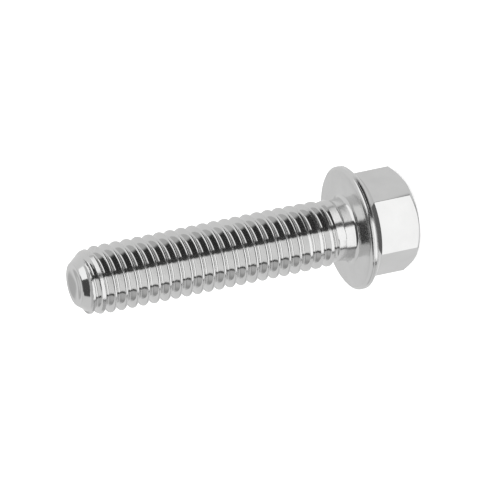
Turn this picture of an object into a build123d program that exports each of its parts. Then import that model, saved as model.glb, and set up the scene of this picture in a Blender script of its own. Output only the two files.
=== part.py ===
"""Flange bolt: M6 x 1 thread, 25 mm under the head, hexagon of 8 mm spanner size.

One piece of steel, cold headed and thread rolled. All sizes are in millimetres.
The origin is the centre of the bearing face under the flange. +Z runs along
the shank to the tip, and the head lies below the origin. The hexagon has two of
its corners on the X axis.
"""
from build123d import *
import os
from math import ceil, cos, radians, tan

# Thread
thread_diameter = 5.84        # over the crests
pitch_diameter = 5.3          # where ridge and groove are equally wide
root_diameter = 4.77          # at the bottom of the groove
thread_pitch = 1.0
crest_height_on_x = 0.73      # where the first turn of the crest crosses the +X side

# Shank
length_under_head = 25.0
neck_diameter = 5.2           # plain shank between the flange and the thread
neck_length = 1.4
neck_flare = 0.36             # cone from the neck to the bearing face
crest_rise_angle = 17.5       # at which the crest rises from the neck, from the axis
root_fall_angle = 12.0        # at which the groove sinks from the neck, from the axis

# Tip
tip_diameter = 3.7
tip_chamfer_angle = 40.0      # from the axis
crest_start_diameter = 5.3    # where the chamfer meets the cone of the first crests
crest_start_angle = 12.0      # of that cone, from the axis
dish_diameter = 2.7           # shallow conical hollow in the end face
dish_depth = 0.22

# Flange
flange_diameter = 10.68
rim_thickness = 0.63
rim_bevel = 0.21              # between the bearing face and the rim
flange_slope = 34.5           # of the conical side towards the hexagon

# Hexagon
across_flats = 7.84
head_height = 5.32            # from the bearing face to the flat top
top_flat_diameter = 7.3
crown_angle = 35.0            # of the crown chamfer, from the flat top

# How far a shape passes the surface that it cuts or joins, and a cutter the ends of the shank
spare = 0.5
overrun = 3 * thread_pitch

thread_radius = thread_diameter / 2
pitch_radius = pitch_diameter / 2
root_radius = root_diameter / 2
neck_radius = neck_diameter / 2
tip_radius = tip_diameter / 2
crest_start_radius = crest_start_diameter / 2
flange_radius = flange_diameter / 2
flat_radius = across_flats / 2


def turned(corners, bevels=()):
    """A solid of revolution about Z from the corners (radius, height) of its half section.

    Each entry of bevels is the number of a corner in the list and the size of its bevel.
    """
    section = make_face(Polyline(*corners, close=True))
    for number, size in bevels:
        section = chamfer(section.vertices().sort_by_distance(corners[number])[0], size)
    return revolve(Plane.XZ * section, Axis.Z)


def screw_line(radius, height):
    """One right-hand turn of a helix, from the +X side at this height."""
    return (Pos(0, 0, height) * Helix(thread_pitch, thread_pitch, radius)).edge()


def ridge_section(crest_height):
    """Corners (radius, height) of one turn of the ridge on the +X side, from root to root."""
    return [
        (root_radius, crest_height - thread_pitch / 2),
        (pitch_radius, crest_height - thread_pitch / 4),
        (thread_radius, crest_height),
        (pitch_radius, crest_height + thread_pitch / 4),
        (root_radius, crest_height + thread_pitch / 2),
    ]


def end_faces(crest_height, root_line):
    """What closes the rod at one end: a screw face to the axis, and the step that it leaves."""
    low, high = root_line @ 0, root_line @ 1
    axis = Edge.make_line((0, 0, low.Z), (0, 0, high.Z))
    section = [(radius, 0, height) for radius, height in ridge_section(crest_height)]
    step = Wire.make_polygon([(0, 0, low.Z), *section, (0, 0, high.Z)], close=True)
    return [Face.make_surface_from_curves(axis, root_line), Face(step)]


def rolled_rod():
    """A right-hand V thread on a solid core, longer than the shank at both ends."""
    start = crest_height_on_x - thread_pitch
    turns = ceil((length_under_head - start) / thread_pitch) + 1
    line = screw_line(*ridge_section(start)[0])
    faces = end_faces(start, line)
    for turn in range(turns):
        for radius, height in ridge_section(start + turn * thread_pitch)[1:]:
            following = screw_line(radius, height)
            faces.append(Face.make_surface_from_curves(line, following))
            line = following
    faces += end_faces(start + turns * thread_pitch, line)
    return Solid(Shell(faces))


def tip_cutter():
    """What is cut away beyond the end face, outside the chamfer and off the first crests."""
    outer = thread_radius + spare
    chamfer_length = (crest_start_radius - tip_radius) / tan(radians(tip_chamfer_angle))
    cone_length = (outer - crest_start_radius) / tan(radians(crest_start_angle))
    beyond = length_under_head + overrun
    corners = [
        (0, length_under_head),
        (tip_radius, length_under_head),
        (crest_start_radius, length_under_head - chamfer_length),
        (outer, length_under_head - chamfer_length - cone_length),
        (outer, beyond),
        (0, beyond),
    ]
    return turned(corners)


def neck_cutter():
    """What is cut away below the thread and outside the cone on which its crest rises."""
    outer = thread_radius + spare
    rise = (outer - neck_radius) / tan(radians(crest_rise_angle))
    below = crest_height_on_x - overrun
    corners = [
        (0, neck_length),
        (neck_radius, neck_length),
        (outer, neck_length + rise),
        (outer, below),
        (0, below),
    ]
    return turned(corners)


def dish():
    """The cone that leaves the shallow hollow in the end face."""
    dish_radius = dish_diameter / 2
    rise = dish_depth / dish_radius
    outer = dish_radius + spare
    bottom = length_under_head - dish_depth
    return turned([(0, bottom), (outer, bottom + outer * rise), (0, bottom + outer * rise)])


def flange_and_neck():
    """Flange with its bearing face, conical side and rim, and the neck with its taper.

    The taper at the end of the neck fills the first grooves of the thread.
    """
    cone_top = -rim_thickness - (flange_radius - flat_radius) * tan(radians(flange_slope))
    taper_radius = root_radius - spare
    taper_top = neck_length + (neck_radius - taper_radius) / tan(radians(root_fall_angle))
    corners = [
        (0, cone_top),
        (flat_radius, cone_top),
        (flange_radius, -rim_thickness),
        (flange_radius, 0),
        (neck_radius, 0),
        (neck_radius, neck_length),
        (taper_radius, taper_top),
        (0, taper_top),
    ]
    return turned(corners, [(3, rim_bevel), (4, neck_flare)])


def hexagon():
    """Hexagonal head with a crown chamfer."""
    outline = RegularPolygon(flat_radius, 6, major_radius=False)
    prism = extrude(Pos(0, 0, -head_height) * outline, head_height - rim_thickness)
    outer = flat_radius / cos(radians(30)) + spare
    top_radius = top_flat_diameter / 2
    crown_foot = (outer - top_radius) * tan(radians(crown_angle)) - head_height
    crown = turned([
        (0, -head_height),
        (top_radius, -head_height),
        (outer, crown_foot),
        (outer, 0),
        (0, 0),
    ])
    return prism & crown


def flange_bolt():
    """The whole bolt as one solid."""
    shank = rolled_rod() - tip_cutter() - neck_cutter() - dish()
    return hexagon() + flange_and_neck() + shank


os.makedirs("parts", exist_ok=True)
bolt = flange_bolt()
export_step(bolt, "parts/flange_bolt.step")
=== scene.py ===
"""Looks of the flange bolt: one polished steel piece with a rolled M6 thread.

The bolt stands on its head, with its shank along +Z and the centre of the
bearing face at the origin. Sizes here are in millimetres and become metres
in the helpers. The camera is rolled, so the shank lies across the picture.
"""
from math import atan2, ceil, cos, degrees, radians, sin, sqrt, tan

import bpy
from mathutils import Matrix, Vector


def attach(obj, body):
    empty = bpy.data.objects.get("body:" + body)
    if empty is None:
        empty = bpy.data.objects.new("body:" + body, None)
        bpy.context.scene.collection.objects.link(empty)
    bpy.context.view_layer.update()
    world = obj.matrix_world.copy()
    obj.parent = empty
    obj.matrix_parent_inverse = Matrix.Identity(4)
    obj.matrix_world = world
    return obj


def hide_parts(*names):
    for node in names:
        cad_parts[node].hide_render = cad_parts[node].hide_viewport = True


MM = 0.001

# Thread
CREST_RADIUS = 2.92
ROOT_RADIUS = 2.346
PITCH = 1.0
FLANK_ANGLE = 30.0            # of the sides of the ridge, from a level plane
FLANK_FALL = 1.73             # change in their radius along the axis
CREST_FLAT = 0.05             # width along the axis, without its rounded edges
CREST_ROUND = 0.11
ROOT_ROUND = 0.14
CREST_ON_X = 0.73             # height at which a crest crosses the +X side
STEPS = 96                    # round one turn
FLANK_STEPS = 6               # along each side of the ridge
SPARE_TURNS = 2               # of the rod below the neck, before it is trimmed
ROD_SPARE = 0.8               # by which the trimmed rod passes the end face

# Neck
NECK_RADIUS = 2.6
FIRST_CREST = 1.45            # height at which the crest rises out of the neck
CREST_RISE = 0.43             # its gain in radius along the axis
FIRST_WIDTH = 0.42            # how far the first crest top reaches towards the neck
NECK_STEP = 2.0               # gain in radius along the step from the neck to it
TOP_TILT = 0.2                # fall of the first crest top towards the tip
FIRST_TURN_END = 2.0          # where the crest has nearly its full height, and its own width
FIRST_TURN_BLEND = 0.25       # length before it in which the wide crest becomes narrow
GROOVE_TOP = 1.5              # from here the grooves sink into the neck
GROOVE_FALL = 0.7             # loss in radius along the axis
LOW_CRESTS = 0.075            # by which the first full crests are lower than the later ones
LOW_CRESTS_FROM = 2.0         # up to here they are lowest
LOW_CRESTS_TO = 6.5           # and from here the crests have their full height
FREE_NECK = 1.0               # where the neck is cut, to draw its edge out into the flange
NECK_CONE = 10.0              # angle at which the neck widens from there, to the fillet
NECK_RINGS = (0.03, 0.04)     # distance of the first and last ring of it from its ends
FILLET = 0.34                 # between the neck and the bearing face
FILLET_OUT = 3.06             # radius at which the fillet ends on the bearing face

# Tip
TIP_Z = 25.0
TIP_RADIUS = 1.85
TIP_SLOPE = 0.77              # gain in radius along the chamfer
TIP_EDGE = [                  # rounded edge of the end face: past its radius, and below it
    (-0.05, 0.0),
    (-0.02, 0.006),
    (0.005, 0.022),
    (0.025, 0.045),
    (0.06, 0.07),
]
DISH_RADIUS = 1.45
DISH_DEPTH = 0.22
DISH_RINGS = 10
LAST_CREST_Z = 24.5           # where the last crest leaves the chamfer, at the most
LAST_CREST_EDGE = 0.06        # how far past its middle it leaves the chamfer elsewhere
LAST_CREST_SLOPE = 2.5        # by which it is steeper than the chamfer
SOFT_CREST_Z = 22.9           # from here the crests have a softer side towards the tip
SOFT_BLEND = 0.5              # length in which it grows
SOFT_FALL = 0.22              # fall of that side and of the top, once it is full
CREST_END = 24.65             # height at which the helix of crests ends
CREST_LIMITS = [              # height and radius of the crest near the tip
    (CREST_END, 2.35),
    (24.5, 2.58),
    (24.25, 2.645),
    (23.75, 2.74),
    (23.25, 2.835),
    (22.7, CREST_RADIUS),
]

# Flange
FLANGE_RADIUS = 5.34
RIM_LOW = -0.63
FACE_EDGE = 5.07              # where the flat of the bearing face ends
FACE_ROUND = 0.08
FACE_RINGS = (3.4, 4.2)       # radii of two rings on the flat, which keep its shading even
EDGE_ANGLE = 51.0             # of the bevel between the bearing face and the rim
BEVEL_RINGS = (0.15, 0.85)    # places of the rings on the bevel, as shares of its width
RIM_ROUND = 0.10
UNDER_ROUND = 0.05            # of the lower edge of the rim
RIM_RING = 0.02               # distance of the rings on the rim from its rounded edges
CONE_FOOT = (4.5, -1.40)      # where the cone meets the low shelf round the hexagon
SHELF_SLOPE = 14.0
SHELF_END = 3.0               # radius at which the shelf ends, inside the hexagon

# Hexagon
HALF_FLATS = 3.92
HEAD_LOW = -5.32
HEAD_START = -0.98            # upper end of the hexagon, inside the flange
CORNER_ROUND = 0.015
TOP_RADIUS = 3.65
CROWN_ANGLE = 35.0
CROWN_END = 0.06              # how far outside the top's radius the crown chamfer ends
TOP_EDGE = [                  # rounded edge of the top: past its radius, and from the top
    (0.02, 0.006),
    (-0.03, 0.0),
]

# Tools that cut the tip and the crown
TOOL_LENGTH = 2.0             # by which they pass the end of the bolt
TIP_TOOL_MARGIN = 0.6         # by which they pass its sides
CROWN_TOOL_MARGIN = 1.0
TIP_STEPS = 128               # round the tool
CROWN_STEPS = 192

# Nearness, in metres
SAME_POINT = 1e-7
SAME_LEVEL = 1e-8
ON_THE_CUT = 1e-9

# Finish. A mask has its place and the width of its soft edge.
SMOOTH_ANGLE = 28             # edges sharper than this stay sharp
DARK_TONE = (0.64, 0.64, 0.637, 1)
LIGHT_TONE = (0.71, 0.71, 0.707, 1)
TONE_SPREAD = (-0.3, 1.3)     # from dark to light, of the smudges
STEEL_ROUGHNESS = 0.10
ROUGHNESS_SPREAD = 0.04       # up and down with the grain
FACE_ROUGHNESS = 0.17         # of the bearing face
CREST_ROUGHNESS = 0.2         # of the tops of the crests, which the rolling leaves free
CREST_BAND = 0.06             # depth below the top of a crest that still counts as its top
NECK_MARK = 0.75              # share of the crests' marks that the neck has
NECK_START = FILLET - 0.02    # from here up it has them
NECK_END = FIRST_CREST - FIRST_WIDTH + 0.05
FACE_RADIUS_MASK = (FILLET_OUT, 0.2)
FACE_HEIGHT_MASK = (-0.06, 0.08)
RIM_RADIUS_MASK = (5.2, 0.1)
RIM_HEIGHT_MASK = (-1.2, 0.2)
RING_SCALE = 9000             # turning marks, per metre
GRAIN_SCALE = 5000
SMUDGE_SCALE = 500
MARK_DEPTH = 0.003            # of the marks
RING_DEPTH = (0.05, 16.0)     # of the turning marks, times that: on the rest, on the rim
GRAIN_DEPTH = (0.2, 1.5)      # of the grain, times that: on the rest, on the crests

# Studio, seen by mirror rays only. Angles run round the bolt from the camera's side, and up from
# level. A panel is left, right, blur of its sides, low, high, blur of its edges, brightness.
STUDIO_TURN = 81.57           # from the X axis to the camera's side
STUDIO_GREY = 0.79
STUDIO_PANELS = [
    (-132, -76, 8, -16, 12, 10, 0.50),
    (9, 92, 14, -90, 4, 14, 0.05),
    (-80, 26, 8, 19, 68, 4, 0.08),
    (20, 88, 5, -5, 90, 10, 1.25),
    (-72, 4, 6, -43, 18.5, 4, 1.32),
    (6, 22, 5, -90, 40, 10, 0.07),
    (-82, -73, 4, -50, 30, 10, 0.08),
    (-75, 92, 8, -90, -43, 5, 0.20),
    (160, 200, 10, 28, 60, 12, 0.55),
    (-200, -160, 10, 28, 60, 12, 0.55),
    (169, 200, 6, -6, 14, 8, 0.50),
    (-200, -169, 6, -6, 14, 8, 0.50),
    (173, 200, 6, -60, -28, 8, 0.42),
    (-200, -173, 6, -60, -28, 8, 0.42),
    (-200, 200, 1, 66, 90, 10, 0.13),
]
PLAIN_LIGHT = 0.9             # strength of the white light on all but mirror rays

# Table
TABLE_SIZE = 3000.0
TABLE_WHITE = 0.9
TABLE_GLOW = 0.6              # seen by the camera only, and not lighting the bolt

# Camera
CAMERA_PLACE = (100.55, -679.40, 271.71)
CAMERA_AIM = (-0.569, 2.918, 7.762)
CAMERA_ROLL = -101.72
CAMERA_LENS = 625.1
SENSOR_WIDTH = 36
NEAREST = 50.0
FARTHEST = 10000.0


def activate(piece):
    bpy.ops.object.select_all(action="DESELECT")
    piece.select_set(True)
    bpy.context.view_layer.objects.active = piece


def edit(piece):
    activate(piece)
    bpy.ops.object.mode_set(mode="EDIT")


def leave_edit():
    bpy.ops.object.mode_set(mode="OBJECT")


def drawn_line(name, points):
    """A chain of edges through the points (radius, height), drawn in the XZ plane."""
    bpy.ops.object.select_all(action="DESELECT")
    bpy.ops.mesh.primitive_plane_add(size=MM, location=(0, 0, 0))
    line = bpy.context.active_object
    line.name = name
    edit(line)
    bpy.ops.mesh.select_mode(type="VERT")
    bpy.ops.mesh.select_all(action="SELECT")
    bpy.ops.mesh.merge(type="CENTER")
    last = Vector((0, 0, 0))
    for number, (radius, height) in enumerate(points):
        here = Vector((radius, 0, height)) * MM
        if number == 0:
            bpy.ops.transform.translate(value=here)
        else:
            bpy.ops.mesh.extrude_region_move(TRANSFORM_OT_translate={"value": here - last})
        last = here
    leave_edit()
    return line


def finish_modifier(piece, kind, **settings):
    """Adds a modifier of this kind with these settings, and applies it."""
    activate(piece)
    modifier = piece.modifiers.new(kind.title(), kind)
    for setting, value in settings.items():
        setattr(modifier, setting, value)
    bpy.ops.object.modifier_apply(modifier=modifier.name)


def clean_up(piece):
    """Merges what lies in one place and turns all faces outwards."""
    edit(piece)
    bpy.ops.mesh.select_all(action="SELECT")
    bpy.ops.mesh.remove_doubles(threshold=SAME_POINT)
    bpy.ops.mesh.normals_make_consistent(inside=False)
    leave_edit()


def turned(name, points, steps):
    """A closed turned shape from a half section whose first and last points lie on the axis."""
    piece = drawn_line(name, points)
    finish_modifier(piece, "SCREW", axis="Z", angle=radians(360), steps=steps,
                    render_steps=steps, use_merge_vertices=True, merge_threshold=SAME_POINT)
    clean_up(piece)
    return piece


def arc(centre, radius, start, end, count):
    """Points on an arc in the half section, from one angle to the other, both included."""
    points = []
    for step in range(count + 1):
        angle = radians(start + (end - start) * step / count)
        points.append((centre[0] + radius * cos(angle), centre[1] + radius * sin(angle)))
    return points


def thread_section():
    """One pitch of the rolled thread, from the middle of a groove to the next one."""
    root = arc((ROOT_RADIUS + ROOT_ROUND, 0), ROOT_ROUND, 180, 90 + FLANK_ANGLE, count=4)
    crest = arc((CREST_RADIUS - CREST_ROUND, PITCH / 2 - CREST_FLAT / 2), CREST_ROUND,
                FLANK_ANGLE - 90, 0, count=5)
    foot, head = Vector(root[-1]), Vector(crest[0])
    flank = [tuple(foot.lerp(head, step / FLANK_STEPS)) for step in range(1, FLANK_STEPS)]
    rise = root + flank + crest + [(CREST_RADIUS, PITCH / 2)]
    return rise + [(radius, PITCH - height) for radius, height in reversed(rise[:-1])]


def smooth(x):
    """From 0 to 1 with soft ends, as x goes from 0 to 1."""
    x = min(max(x, 0.0), 1.0)
    return x * x * (3 - 2 * x)


def place_round(vertex):
    """Radius, height and angle of a vertex round the axis."""
    radius = sqrt(vertex.co.x ** 2 + vertex.co.y ** 2) / MM
    return radius, vertex.co.z / MM, degrees(atan2(vertex.co.y, vertex.co.x))


def nearest_crest(height, angle):
    """Height of the crest nearest to this height, on this side of the bolt."""
    phase = CREST_ON_X + PITCH * angle / 360
    return phase + PITCH * round((height - phase) / PITCH)


def last_crests_limit(height, crest):
    """Largest radius here where the crests grow lower towards the tip, and softer."""
    for (upper, small), (lower, large) in zip(CREST_LIMITS, CREST_LIMITS[1:]):
        if lower < crest <= upper:
            top = small + (large - small) * (upper - crest) / (upper - lower)
    soft = smooth((crest - SOFT_CREST_Z) / SOFT_BLEND)
    if height < crest:
        return top + SOFT_FALL * soft * (crest - height)
    return top - (FLANK_FALL + (SOFT_FALL - FLANK_FALL) * soft) * (height - crest)


def first_crests_limit(height, crest):
    """Largest radius here where the crest rises out of the neck, and of full crests."""
    share = smooth((LOW_CRESTS_TO - crest) / (LOW_CRESTS_TO - LOW_CRESTS_FROM))
    settled = CREST_RADIUS - LOW_CRESTS * share
    rising = NECK_RADIUS + (crest - FIRST_CREST) * CREST_RISE
    if rising > settled:
        return settled
    step = NECK_RADIUS + max(height - crest + FIRST_WIDTH, 0) * NECK_STEP
    return min(step, rising + TOP_TILT * (crest - height))


def crest_limit(height, angle):
    """Largest radius of the thread here: less near the neck, and near the chamfer of the tip."""
    crest = nearest_crest(height, angle)
    if crest > CREST_END:
        return ROOT_RADIUS
    if crest > CREST_LIMITS[-1][0]:
        return last_crests_limit(height, crest)
    if crest < FIRST_CREST:
        return NECK_RADIUS
    return first_crests_limit(height, crest)


def shaped_radius(radius, height, angle):
    """The radius of a point of the thread, held between the neck, the chamfer and the crests."""
    radius = max(radius, NECK_RADIUS - max(height - GROOVE_TOP, 0) * GROOVE_FALL)
    limit = crest_limit(height, angle)
    crest = nearest_crest(height, angle)
    if FIRST_CREST < crest < FIRST_TURN_END and height < crest:
        wide = smooth((FIRST_TURN_END - crest) / FIRST_TURN_BLEND)
        radius = max(radius, radius + (limit - radius) * wide)
    chamfer = TIP_RADIUS + TIP_SLOPE * (TIP_Z - height)
    edge = min(crest + LAST_CREST_EDGE, LAST_CREST_Z) if crest < CREST_END else height
    start = chamfer + LAST_CREST_SLOPE * max(edge - height, 0)
    core = min(chamfer, ROOT_RADIUS)
    return max(core, min(radius, limit, start))


def threaded_rod():
    """The rolled thread with its start at the tip and its run-out at the neck, open at both ends."""
    start = CREST_ON_X - PITCH / 2 - SPARE_TURNS * PITCH
    turns = ceil((TIP_Z - start) / PITCH) + 1
    rod = drawn_line("rod", [(radius, height + start) for radius, height in thread_section()])
    finish_modifier(rod, "SCREW", axis="Z", angle=radians(360), screw_offset=PITCH * MM,
                    steps=STEPS, render_steps=STEPS, iterations=turns,
                    use_merge_vertices=True, merge_threshold=SAME_POINT)
    clean_up(rod)
    for vertex in rod.data.vertices:
        radius, height, angle = place_round(vertex)
        factor = shaped_radius(radius, height, angle) / radius
        vertex.co.x *= factor
        vertex.co.y *= factor
    return rod


def trim(piece, height, above):
    """Cuts the piece level at this height and clears what is above or below it."""
    edit(piece)
    bpy.ops.mesh.select_all(action="SELECT")
    bpy.ops.mesh.bisect(plane_co=(0, 0, height * MM), plane_no=(0, 0, 1), threshold=ON_THE_CUT,
                        clear_outer=above, clear_inner=not above)
    leave_edit()


def select_ring(piece, height):
    """Leaves the piece in edit mode, with its open edge at this height selected."""
    edit(piece)
    bpy.ops.mesh.select_mode(type="VERT")
    bpy.ops.mesh.select_all(action="DESELECT")
    leave_edit()
    for vertex in piece.data.vertices:
        vertex.select = abs(vertex.co.z - height * MM) < SAME_LEVEL
    edit(piece)
    bpy.ops.mesh.select_mode(type="EDGE")


def neck_and_fillet():
    """Rings (radius, height) from the cut neck down to the bearing face."""
    fillet = arc((FILLET_OUT, FILLET), FILLET, 180 + NECK_CONE, 270, count=8)
    slope = tan(radians(NECK_CONE))
    first, last = NECK_RINGS
    rings = [(NECK_RADIUS + first * slope, FREE_NECK - first),
             (fillet[0][0] - last * slope, fillet[0][1] + last)]
    return rings + fillet


def flange_rings():
    """Rings (radius, height) from the bearing face round the rim to the shelf at the hexagon."""
    across, along = cos(radians(EDGE_ANGLE)), sin(radians(EDGE_ANGLE))
    bevel = FACE_EDGE * across + FACE_ROUND * (1 - along)
    rim_centre = FLANGE_RADIUS - RIM_ROUND
    rim_top = (bevel - RIM_ROUND - rim_centre * across) / along
    face = [(radius, 0.0) for radius in FACE_RINGS]
    edge = arc((FACE_EDGE, -FACE_ROUND), FACE_ROUND, 90, EDGE_ANGLE, count=3)
    rim = arc((rim_centre, rim_top), RIM_ROUND, EDGE_ANGLE, 0, count=4)
    bevel_start, bevel_end = Vector(edge[-1]), Vector(rim[0])
    edge += [tuple(bevel_start.lerp(bevel_end, share)) for share in BEVEL_RINGS]
    rim += [(FLANGE_RADIUS, rim[-1][1] - RIM_RING),
            (FLANGE_RADIUS, RIM_LOW + UNDER_ROUND + RIM_RING)]
    under = arc((FLANGE_RADIUS - UNDER_ROUND, RIM_LOW + UNDER_ROUND), UNDER_ROUND, 0, -45, count=3)
    shelf_low = CONE_FOOT[1] - (CONE_FOOT[0] - SHELF_END) * tan(radians(SHELF_SLOPE))
    return face + edge + rim + under + [CONE_FOOT, (SHELF_END, shelf_low)]


def shape_head_side(rod):
    """Cuts the rod at the neck and draws its edge out into the fillet, flange and cone."""
    rod_end = TIP_Z + ROD_SPARE
    trim(rod, FREE_NECK, above=False)
    trim(rod, rod_end, above=True)
    select_ring(rod, FREE_NECK)
    radius, height = NECK_RADIUS, FREE_NECK
    for next_radius, next_height in neck_and_fillet() + flange_rings():
        bpy.ops.mesh.extrude_region_move(
            TRANSFORM_OT_translate={"value": (0, 0, (next_height - height) * MM)})
        factor = next_radius / radius
        bpy.ops.transform.resize(value=(factor, factor, 1), center_override=(0, 0, 0))
        radius, height = next_radius, next_height
    bpy.ops.mesh.edge_face_add()
    leave_edit()
    select_ring(rod, rod_end)
    bpy.ops.mesh.edge_face_add()
    leave_edit()
    clean_up(rod)


def cut(piece, tool, operation):
    """Cuts the piece with the tool, or joins the two, and clears the tool away."""
    finish_modifier(piece, "BOOLEAN", object=tool, operation=operation, solver="EXACT")
    bpy.data.objects.remove(tool)


def tip_tool():
    """What is taken off the tip: the shallow dish, the end face and its rounded edge."""
    outer = CREST_RADIUS + TIP_TOOL_MARGIN
    points = [(0, TIP_Z - DISH_DEPTH)]
    for ring in range(1, DISH_RINGS + 1):
        share = ring / DISH_RINGS
        rise = (smooth(share) + share ** 2) / 2
        points.append((DISH_RADIUS * ring / DISH_RINGS, TIP_Z - DISH_DEPTH * (1 - rise)))
    points += [(TIP_RADIUS + past, TIP_Z - below) for past, below in TIP_EDGE]
    points += [(outer, points[-1][1]), (outer, TIP_Z + TOOL_LENGTH), (0, TIP_Z + TOOL_LENGTH)]
    return turned("tip_tool", points, TIP_STEPS)


def crown_tool():
    """What is taken off the hexagon's corners at its top."""
    outer = HALF_FLATS / cos(radians(30)) + CROWN_TOOL_MARGIN
    slope = tan(radians(CROWN_ANGLE))
    points = [
        (0, HEAD_LOW - TOOL_LENGTH),
        (outer, HEAD_LOW - TOOL_LENGTH),
        (outer, HEAD_LOW + (outer - TOP_RADIUS) * slope),
        (TOP_RADIUS + CROWN_END, HEAD_LOW + CROWN_END * slope),
    ]
    points += [(TOP_RADIUS + past, HEAD_LOW + off) for past, off in TOP_EDGE]
    points.append((0, HEAD_LOW))
    return turned("crown", points, CROWN_STEPS)


def hexagon():
    """The hexagonal head with slightly rounded corners and its crown chamfer."""
    bpy.ops.object.select_all(action="DESELECT")
    bpy.ops.mesh.primitive_cylinder_add(vertices=6, radius=HALF_FLATS / cos(radians(30)) * MM,
                                        depth=(HEAD_START - HEAD_LOW) * MM,
                                        location=(0, 0, (HEAD_START + HEAD_LOW) / 2 * MM),
                                        rotation=(0, 0, radians(30)))
    head = bpy.context.active_object
    head.name = "head"
    bpy.ops.object.transform_apply(location=True, rotation=True, scale=True)
    edit(head)
    bpy.ops.mesh.select_all(action="DESELECT")
    leave_edit()
    for side_edge in head.data.edges:
        first, second = (head.data.vertices[number].co for number in side_edge.vertices)
        side_edge.select = abs(first.z - second.z) > MM
    edit(head)
    bpy.ops.mesh.select_mode(type="EDGE")
    bpy.ops.mesh.bevel(offset=CORNER_ROUND * MM, segments=2, affect="EDGES")
    leave_edit()
    cut(head, crown_tool(), "DIFFERENCE")
    return head


def mark_crests(piece):
    """Notes on the piece, as the attribute crest, where the tops of its crests and the neck are."""
    crest = piece.data.attributes.new("crest", "FLOAT", "POINT")
    for vertex, mark in zip(piece.data.vertices, crest.data):
        radius, height, angle = place_round(vertex)
        if NECK_END < height < CREST_END:
            mark.value = smooth(1 - (crest_limit(height, angle) - radius) / CREST_BAND)
            if height < FIRST_CREST + FIRST_WIDTH:
                mark.value *= NECK_MARK
        elif NECK_START < height <= NECK_END:
            mark.value = NECK_MARK


def math_node(nodes, links, operation, first, second):
    """The result of a sum, such as MULTIPLY, of numbers or of what other nodes give."""
    node = nodes.new("ShaderNodeMath")
    node.operation = operation
    for socket, value in zip(node.inputs, (first, second)):
        if isinstance(value, (int, float)):
            socket.default_value = value
        else:
            links.new(value, socket)
    return node.outputs[0]


def soft_step(nodes, links, value, place, width, rising):
    """From 0 to 1, or from 1 to 0, where the value passes the place, over this width."""
    step = nodes.new("ShaderNodeMapRange")
    step.interpolation_type = "SMOOTHSTEP"
    step.inputs["From Min"].default_value = place - width / 2
    step.inputs["From Max"].default_value = place + width / 2
    step.inputs["To Min"].default_value = 0 if rising else 1
    step.inputs["To Max"].default_value = 1 if rising else 0
    links.new(value, step.inputs["Value"])
    return step.outputs["Result"]


def mask(nodes, links, radius, height, radius_mask, height_mask):
    """From 0 to 1 on what lies outside this radius and above this height."""
    outside = soft_step(nodes, links, radius, radius_mask[0] * MM, radius_mask[1] * MM, True)
    above = soft_step(nodes, links, height, height_mask[0] * MM, height_mask[1] * MM, True)
    return math_node(nodes, links, "MULTIPLY", outside, above)


def ranged(nodes, links, value, low, high):
    """Spreads a value that runs from 0 to 1 over another range."""
    node = nodes.new("ShaderNodeMapRange")
    node.inputs["To Min"].default_value = low
    node.inputs["To Max"].default_value = high
    links.new(value, node.inputs["Value"])
    return node.outputs["Result"]


def noise(nodes, links, place, scale, detail):
    node = nodes.new("ShaderNodeTexNoise")
    node.inputs["Scale"].default_value = scale
    node.inputs["Detail"].default_value = detail
    links.new(place, node.inputs["Vector"])
    return node.outputs["Fac"]


def joined(nodes, links, **parts):
    """A vector from the named parts, X and Y."""
    node = nodes.new("ShaderNodeCombineXYZ")
    for part, value in parts.items():
        links.new(value, node.inputs[part])
    return node.outputs["Vector"]


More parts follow.
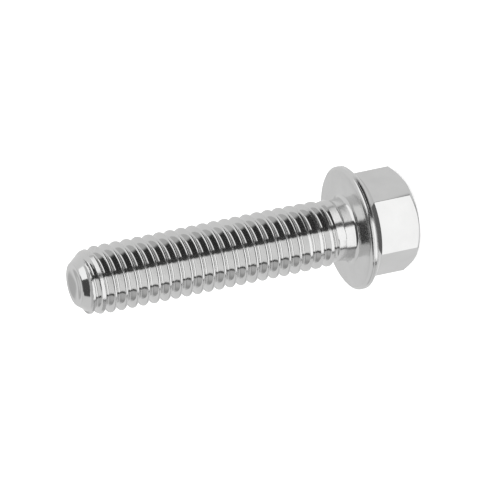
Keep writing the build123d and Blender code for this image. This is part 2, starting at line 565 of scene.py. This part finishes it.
def polished_steel():
    """Bright steel: sharp on the flanks and hexagon, duller on the bearing face, crests and neck."""
    material = bpy.data.materials.new("polished_steel")
    material.use_nodes = True
    nodes, links = material.node_tree.nodes, material.node_tree.links
    shader = nodes["Principled BSDF"]
    shader.inputs["Metallic"].default_value = 1.0
    place = nodes.new("ShaderNodeTexCoord").outputs["Object"]
    axes = nodes.new("ShaderNodeSeparateXYZ")
    links.new(place, axes.inputs["Vector"])
    distance = nodes.new("ShaderNodeVectorMath")
    distance.operation = "LENGTH"
    links.new(joined(nodes, links, X=axes.outputs["X"], Y=axes.outputs["Y"]), distance.inputs[0])
    radius, height = distance.outputs["Value"], axes.outputs["Z"]

    face = mask(nodes, links, radius, height, FACE_RADIUS_MASK, FACE_HEIGHT_MASK)
    rim = mask(nodes, links, radius, height, RIM_RADIUS_MASK, RIM_HEIGHT_MASK)
    crest = nodes.new("ShaderNodeAttribute")
    crest.attribute_name = "crest"
    crests = crest.outputs["Fac"]

    rings = noise(nodes, links, joined(nodes, links, X=radius, Y=height), RING_SCALE, detail=2)
    grain = noise(nodes, links, place, GRAIN_SCALE, detail=3)
    smudges = noise(nodes, links, place, SMUDGE_SCALE, detail=3)

    tone = nodes.new("ShaderNodeMix")
    tone.data_type = "RGBA"
    tone.inputs["A"].default_value = DARK_TONE
    tone.inputs["B"].default_value = LIGHT_TONE
    links.new(ranged(nodes, links, smudges, *TONE_SPREAD), tone.inputs["Factor"])
    links.new(tone.outputs["Result"], shader.inputs["Base Color"])

    on_face = math_node(nodes, links, "MULTIPLY", face, FACE_ROUGHNESS - STEEL_ROUGHNESS)
    on_crests = math_node(nodes, links, "MULTIPLY", crests, CREST_ROUGHNESS - STEEL_ROUGHNESS)
    duller = math_node(nodes, links, "ADD", on_face, on_crests)
    plain = ranged(nodes, links, grain, STEEL_ROUGHNESS - ROUGHNESS_SPREAD,
                   STEEL_ROUGHNESS + ROUGHNESS_SPREAD)
    links.new(math_node(nodes, links, "ADD", duller, plain), shader.inputs["Roughness"])

    turning = math_node(nodes, links, "MULTIPLY", rings, ranged(nodes, links, rim, *RING_DEPTH))
    coarse = math_node(nodes, links, "MULTIPLY", grain, ranged(nodes, links, crests, *GRAIN_DEPTH))
    bump = nodes.new("ShaderNodeBump")
    bump.inputs["Strength"].default_value = 1.0
    bump.inputs["Distance"].default_value = MARK_DEPTH * MM
    links.new(math_node(nodes, links, "ADD", turning, coarse), bump.inputs["Height"])
    links.new(bump.outputs["Normal"], shader.inputs["Normal"])
    return material


def studio_pattern(nodes, links, across, up):
    """The pale surroundings with their soft panels and dark gaps, at these two angles."""
    colour = nodes.new("ShaderNodeRGB")
    colour.outputs[0].default_value = (STUDIO_GREY, STUDIO_GREY, STUDIO_GREY, 1)
    pattern = colour.outputs[0]
    for left, right, side_blur, low, high, edge_blur, brightness in STUDIO_PANELS:
        side_blur, edge_blur = radians(side_blur), radians(edge_blur)
        panel = math_node(nodes, links, "MULTIPLY",
                          soft_step(nodes, links, across, radians(left), side_blur, True),
                          soft_step(nodes, links, across, radians(right), side_blur, False))
        if low > -90:
            bottom = soft_step(nodes, links, up, radians(low), edge_blur, True)
            panel = math_node(nodes, links, "MULTIPLY", panel, bottom)
        if high < 90:
            top = soft_step(nodes, links, up, radians(high), edge_blur, False)
            panel = math_node(nodes, links, "MULTIPLY", panel, top)
        mix = nodes.new("ShaderNodeMix")
        mix.data_type = "RGBA"
        links.new(panel, mix.inputs["Factor"])
        links.new(pattern, mix.inputs["A"])
        mix.inputs["B"].default_value = (brightness, brightness, brightness, 1)
        pattern = mix.outputs["Result"]
    return pattern


def studio():
    """Plain white light, and for mirror rays the surroundings that the polished steel shows."""
    world = bpy.data.worlds.new("studio")
    bpy.context.scene.world = world
    world.use_nodes = True
    nodes, links = world.node_tree.nodes, world.node_tree.links
    nodes.clear()
    direction = nodes.new("ShaderNodeTexCoord")
    turn = nodes.new("ShaderNodeMapping")
    turn.vector_type = "VECTOR"
    turn.inputs["Rotation"].default_value = (0, 0, radians(STUDIO_TURN))
    links.new(direction.outputs["Generated"], turn.inputs["Vector"])
    parts = nodes.new("ShaderNodeSeparateXYZ")
    links.new(turn.outputs["Vector"], parts.inputs["Vector"])
    across = math_node(nodes, links, "ARCTAN2", parts.outputs["Y"], parts.outputs["X"])
    up = math_node(nodes, links, "ARCSINE", parts.outputs["Z"], 0)
    mirrored = nodes.new("ShaderNodeBackground")
    links.new(studio_pattern(nodes, links, across, up), mirrored.inputs["Color"])
    plain = nodes.new("ShaderNodeBackground")
    plain.inputs["Color"].default_value = (1, 1, 1, 1)
    plain.inputs["Strength"].default_value = PLAIN_LIGHT
    ray = nodes.new("ShaderNodeLightPath")
    choice = nodes.new("ShaderNodeMixShader")
    links.new(ray.outputs["Is Glossy Ray"], choice.inputs["Fac"])
    links.new(plain.outputs[0], choice.inputs[1])
    links.new(mirrored.outputs[0], choice.inputs[2])
    output = nodes.new("ShaderNodeOutputWorld")
    links.new(choice.outputs[0], output.inputs["Surface"])
    world.cycles.sampling_method = "NONE"


def floor():
    """The white table, which keeps the bolt's shadow and isn't mirrored in the steel."""
    bpy.ops.object.select_all(action="DESELECT")
    bpy.ops.mesh.primitive_plane_add(size=TABLE_SIZE * MM, location=(0, 0, HEAD_LOW * MM))
    plane = bpy.context.active_object
    plane.name = "floor"
    plane.visible_glossy = False
    material = bpy.data.materials.new("white_table")
    material.use_nodes = True
    nodes, links = material.node_tree.nodes, material.node_tree.links
    shader = nodes["Principled BSDF"]
    shader.inputs["Base Color"].default_value = (TABLE_WHITE, TABLE_WHITE, TABLE_WHITE, 1)
    shader.inputs["Roughness"].default_value = 0.9
    shader.inputs["Specular IOR Level"].default_value = 0.0
    shader.inputs["Emission Color"].default_value = (1, 1, 1, 1)
    ray = nodes.new("ShaderNodeLightPath").outputs["Is Camera Ray"]
    glow = math_node(nodes, links, "MULTIPLY", ray, TABLE_GLOW)
    links.new(glow, shader.inputs["Emission Strength"])
    plane.data.materials.append(material)


def camera():
    """The photo's view: from far off, a little above level, rolled onto its side."""
    data = bpy.data.cameras.new("camera")
    viewer = bpy.data.objects.new("camera", data)
    bpy.context.scene.collection.objects.link(viewer)
    bpy.context.scene.camera = viewer
    data.sensor_width = SENSOR_WIDTH
    data.lens = CAMERA_LENS
    data.clip_start = NEAREST * MM
    data.clip_end = FARTHEST * MM
    place = Vector(CAMERA_PLACE) * MM
    aim = Vector(CAMERA_AIM) * MM
    turn = (place - aim).to_track_quat("Z", "Y").to_matrix().to_4x4()
    roll = Matrix.Rotation(radians(CAMERA_ROLL), 4, "Z")
    viewer.matrix_world = Matrix.Translation(place) @ turn @ roll


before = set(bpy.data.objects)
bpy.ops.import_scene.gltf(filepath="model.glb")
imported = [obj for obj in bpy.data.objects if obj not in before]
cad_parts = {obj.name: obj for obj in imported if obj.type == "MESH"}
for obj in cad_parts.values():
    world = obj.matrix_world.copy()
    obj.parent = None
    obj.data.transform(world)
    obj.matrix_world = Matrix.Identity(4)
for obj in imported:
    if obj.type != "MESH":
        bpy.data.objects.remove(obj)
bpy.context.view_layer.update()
bpy.context.scene.view_settings.view_transform = "Standard"
camera()
studio()
floor()

bolt = threaded_rod()
shape_head_side(bolt)
cut(bolt, tip_tool(), "DIFFERENCE")
cut(bolt, hexagon(), "UNION")
bolt.name = "bolt"
clean_up(bolt)
activate(bolt)
bpy.ops.object.shade_smooth_by_angle(angle=radians(SMOOTH_ANGLE))
mark_crests(bolt)
bolt.data.materials.clear()
bolt.data.materials.append(polished_steel())
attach(bolt, "root")
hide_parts("flange_bolt")
